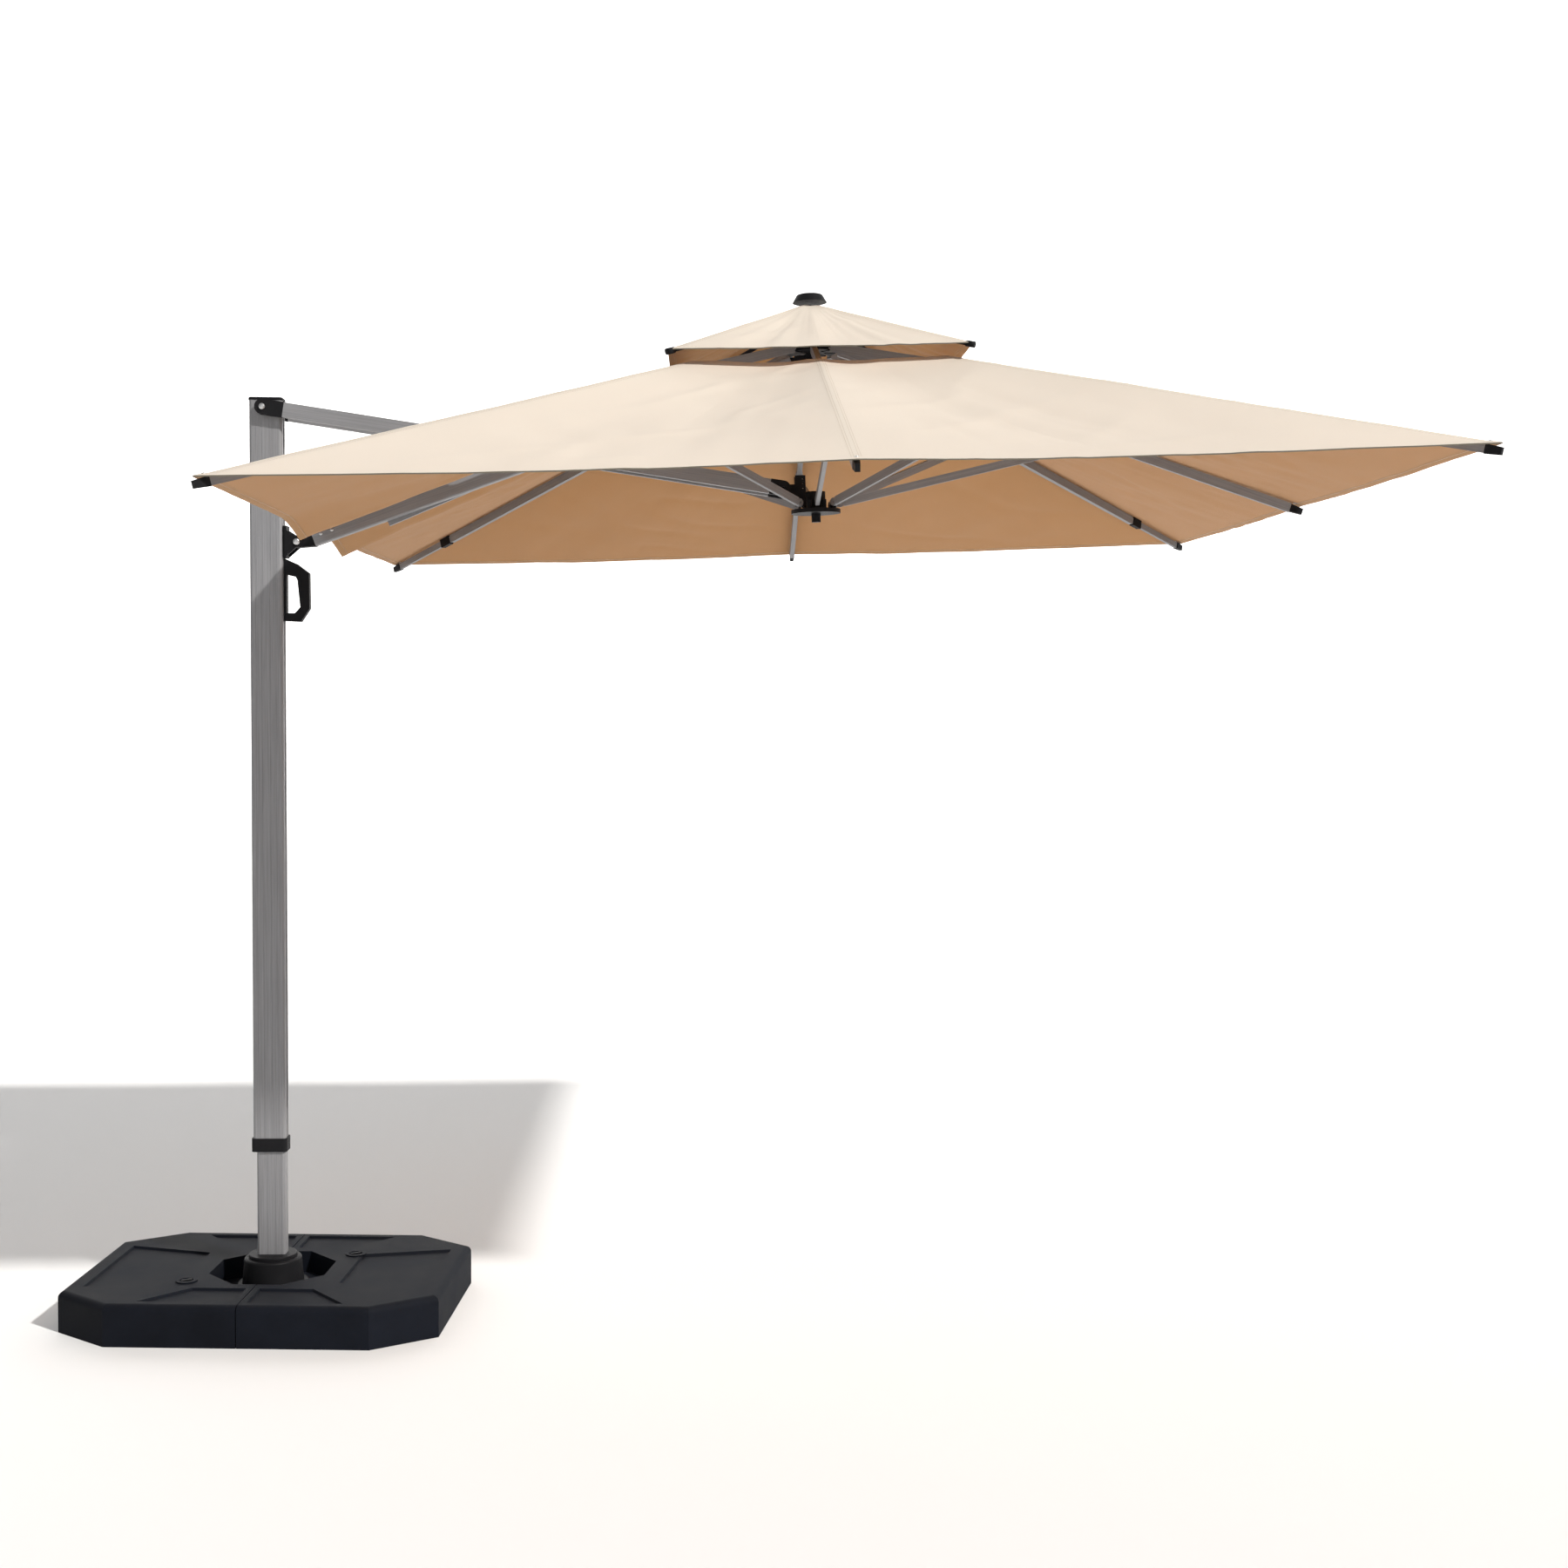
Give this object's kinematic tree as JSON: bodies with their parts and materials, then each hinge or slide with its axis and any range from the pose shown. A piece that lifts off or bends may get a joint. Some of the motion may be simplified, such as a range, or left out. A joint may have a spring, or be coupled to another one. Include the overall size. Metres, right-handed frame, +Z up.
{
  "type": "patio umbrella",
  "caption": "Cantilever patio umbrella: square two-tier canopy on a scissor arm, sliding handle, swivel mast and chamfered ballast base",
  "frame": {"origin": "On the ground, under the mast, on its swivel axis", "axes": "+Z up, +X along the arm from the mast to the canopy"},
  "size_m": [3.7307, 3.0122, 3.0938],
  "materials": {
    "ballast": "blow-moulded, fine grain",
    "steel": "powder-coated",
    "moulding": "fine spark texture",
    "frame": "satin silver-grey, extruded",
    "bolt": "zinc plated",
    "canopy": "plain-woven polyester"
  },
  "bodies": {
    "base": {"tank_left": "ballast", "tank_right": "ballast", "cross_frame": "steel", "hub_socket": "moulding"},
    "filler_left": {"filler_cap_left": "moulding"},
    "filler_right": {"filler_cap_right": "moulding"},
    "mast": {"swivel_flange": "moulding", "mast_lower": "frame", "mast_upper": "frame", "mast_collar": "moulding", "mast_cap": "moulding", "tie_bolt": "bolt"},
    "tie_arms": {"tie_arms": "frame", "tie_shoes": "moulding", "cross_bolt": "bolt"},
    "boom": {"boom": "frame", "boom_shoe": "moulding", "boom_head": "moulding", "hem_arm": "frame", "panel_180": "canopy"},
    "slider": {"slider": "moulding", "handle": "moulding"},
    "top_hub": {"top_hub": "moulding", "apex_cap": "moulding"},
    "runner": {"runner": "moulding", "tie_bracket": "moulding"},
    "rib_0": {"rib_0": "frame", "rib_cap_0": "moulding", "panel_0": "canopy"},
    "strut_0": {"strut_0": "frame"},
    "rib_45": {"rib_45": "frame", "rib_cap_45": "moulding", "panel_45": "canopy", "vent_45": "canopy"},
    "strut_45": {"strut_45": "frame"},
    "rib_90": {"rib_90": "frame", "rib_cap_90": "moulding", "panel_90": "canopy"},
    "strut_90": {"strut_90": "frame"},
    "rib_135": {"rib_135": "frame", "rib_cap_135": "moulding", "panel_135": "canopy", "vent_135": "canopy"},
    "strut_135": {"strut_135": "frame"},
    "rib_225": {"rib_225": "frame", "rib_cap_225": "moulding", "panel_225": "canopy", "vent_225": "canopy"},
    "strut_225": {"strut_225": "frame"},
    "rib_270": {"rib_270": "frame", "rib_cap_270": "moulding", "panel_270": "canopy"},
    "strut_270": {"strut_270": "frame"},
    "rib_315": {"rib_315": "frame", "rib_cap_315": "moulding", "panel_315": "canopy", "vent_315": "canopy"},
    "strut_315": {"strut_315": "frame"}
  },
  "joints": [
    {"name": "swivel", "type": "hinge", "parent": "base", "child": "mast", "pos_m": [0, 0, 0.16], "axis": [0, 0, 1], "continuous": true},
    {"name": "filler_left_unscrew", "type": "hinge", "parent": "base", "child": "filler_left", "pos_m": [-0.22746, -0.13522, 0.12], "axis": [0, 0, 1], "continuous": true},
    {"name": "filler_right_unscrew", "type": "hinge", "parent": "base", "child": "filler_right", "pos_m": [0.22746, 0.13522, 0.12], "axis": [0, 0, 1], "continuous": true},
    {"name": "fold", "type": "hinge", "parent": "mast", "child": "tie_arms", "pos_m": [-0.008, 0, 2.729], "axis": [0, 1, 0], "range_deg": [0, 60.4]},
    {"name": "boom_pivot", "type": "hinge", "parent": "tie_arms", "child": "boom", "pos_m": [0.83711, 0, 2.60675], "axis": [0, 1, 0], "range_deg": [-115.52, 1], "deforming": ["panel_180"]},
    {"name": "slider_pivot", "type": "hinge", "parent": "boom", "child": "slider", "pos_m": [0.087, 0, 2.331], "axis": [0, 1, 0], "range_deg": [-1, 55.12]},
    {"name": "top_hub_pivot", "type": "hinge", "parent": "boom", "child": "top_hub", "pos_m": [1.63119, 0, 2.89867], "axis": [0, 1, 0], "range_deg": [-1, 52.11]},
    {"name": "rib_0_hinge", "type": "hinge", "parent": "top_hub", "child": "rib_0", "pos_m": [1.68498, 0, 2.93267], "axis": [0, 1, 0], "range_deg": [-1, 57.02], "deforming": ["panel_0"]},
    {"name": "strut_0_hinge", "type": "hinge", "parent": "rib_0", "child": "strut_0", "pos_m": [2.46089, 0, 2.64915], "axis": [0, 1, 0], "range_deg": [-123.88, 1]},
    {"name": "rib_45_hinge", "type": "hinge", "parent": "top_hub", "child": "rib_45", "pos_m": [1.66888, 0.03889, 2.93208], "axis": [-0.7066, 0.7071, -0.0259], "range_deg": [-1, 63.49], "deforming": ["panel_45", "vent_45"]},
    {"name": "strut_45_hinge", "type": "hinge", "parent": "rib_45", "child": "strut_45", "pos_m": [2.21777, 0.57983, 2.72526], "axis": [-0.7066, 0.7071, -0.0259], "range_deg": [-125.82, 1]},
    {"name": "rib_90_hinge", "type": "hinge", "parent": "top_hub", "child": "rib_90", "pos_m": [1.63002, 0.055, 2.93065], "axis": [-0.9993, 0, -0.0366], "range_deg": [-1, 57.02], "deforming": ["panel_90"]},
    {"name": "strut_90_hinge", "type": "hinge", "parent": "rib_90", "child": "strut_90", "pos_m": [1.64144, 0.82, 2.6191], "axis": [-0.9993, 0, -0.0366], "range_deg": [-123.88, 1]},
    {"name": "rib_135_hinge", "type": "hinge", "parent": "top_hub", "child": "rib_135", "pos_m": [1.59115, 0.03889, 2.92923], "axis": [-0.7066, -0.7071, -0.0259], "range_deg": [-1, 63.49], "deforming": ["panel_135", "vent_135"]},
    {"name": "strut_135_hinge", "type": "hinge", "parent": "rib_135", "child": "strut_135", "pos_m": [1.05889, 0.57983, 2.68277], "axis": [-0.7066, -0.7071, -0.0259], "range_deg": [-125.82, 1]},
    {"name": "rib_225_hinge", "type": "hinge", "parent": "top_hub", "child": "rib_225", "pos_m": [1.59115, -0.03889, 2.92923], "axis": [0.7066, -0.7071, 0.0259], "range_deg": [-1, 63.49], "deforming": ["panel_225", "vent_225"]},
    {"name": "strut_225_hinge", "type": "hinge", "parent": "rib_225", "child": "strut_225", "pos_m": [1.05889, -0.57983, 2.68277], "axis": [0.7066, -0.7071, 0.0259], "range_deg": [-125.82, 1]},
    {"name": "rib_270_hinge", "type": "hinge", "parent": "top_hub", "child": "rib_270", "pos_m": [1.63002, -0.055, 2.93065], "axis": [0.9993, 0, 0.0366], "range_deg": [-1, 57.02], "deforming": ["panel_270"]},
    {"name": "strut_270_hinge", "type": "hinge", "parent": "rib_270", "child": "strut_270", "pos_m": [1.64144, -0.82, 2.6191], "axis": [0.9993, 0, 0.0366], "range_deg": [-123.88, 1]},
    {"name": "rib_315_hinge", "type": "hinge", "parent": "top_hub", "child": "rib_315", "pos_m": [1.66888, -0.03889, 2.93208], "axis": [0.7066, 0.7071, 0.0259], "range_deg": [-1, 63.49], "deforming": ["panel_315", "vent_315"]},
    {"name": "strut_315_hinge", "type": "hinge", "parent": "rib_315", "child": "strut_315", "pos_m": [2.21777, -0.57983, 2.72526], "axis": [0.7066, 0.7071, 0.0259], "range_deg": [-125.82, 1]},
    {"name": "runner_hinge", "type": "hinge", "parent": "strut_45", "child": "runner", "pos_m": [1.70017, 0.05303, 2.46491], "axis": [-0.7066, 0.7071, -0.0259], "range_deg": [-1, 63.34]}
  ],
  "couplings": [
    {"joint": "boom_pivot", "follows": "fold", "ratio": -1.8961},
    {"joint": "slider_pivot", "follows": "fold", "ratio": 0.89609},
    {"joint": "top_hub_pivot", "follows": "fold", "ratio": 0.84627},
    {"joint": "rib_0_hinge", "follows": "fold", "ratio": 0.92754},
    {"joint": "strut_0_hinge", "follows": "fold", "ratio": -2.0346},
    {"joint": "rib_45_hinge", "follows": "fold", "ratio": 1.0346},
    {"joint": "strut_45_hinge", "follows": "fold", "ratio": -2.0668},
    {"joint": "rib_90_hinge", "follows": "fold", "ratio": 0.92754},
    {"joint": "strut_90_hinge", "follows": "fold", "ratio": -2.0346},
    {"joint": "rib_135_hinge", "follows": "fold", "ratio": 1.0346},
    {"joint": "strut_135_hinge", "follows": "fold", "ratio": -2.0668},
    {"joint": "rib_225_hinge", "follows": "fold", "ratio": 1.0346},
    {"joint": "strut_225_hinge", "follows": "fold", "ratio": -2.0668},
    {"joint": "rib_270_hinge", "follows": "fold", "ratio": 0.92754},
    {"joint": "strut_270_hinge", "follows": "fold", "ratio": -2.0346},
    {"joint": "rib_315_hinge", "follows": "fold", "ratio": 1.0346},
    {"joint": "strut_315_hinge", "follows": "fold", "ratio": -2.0668},
    {"joint": "runner_hinge", "follows": "fold", "ratio": 1.0321}
  ]
}
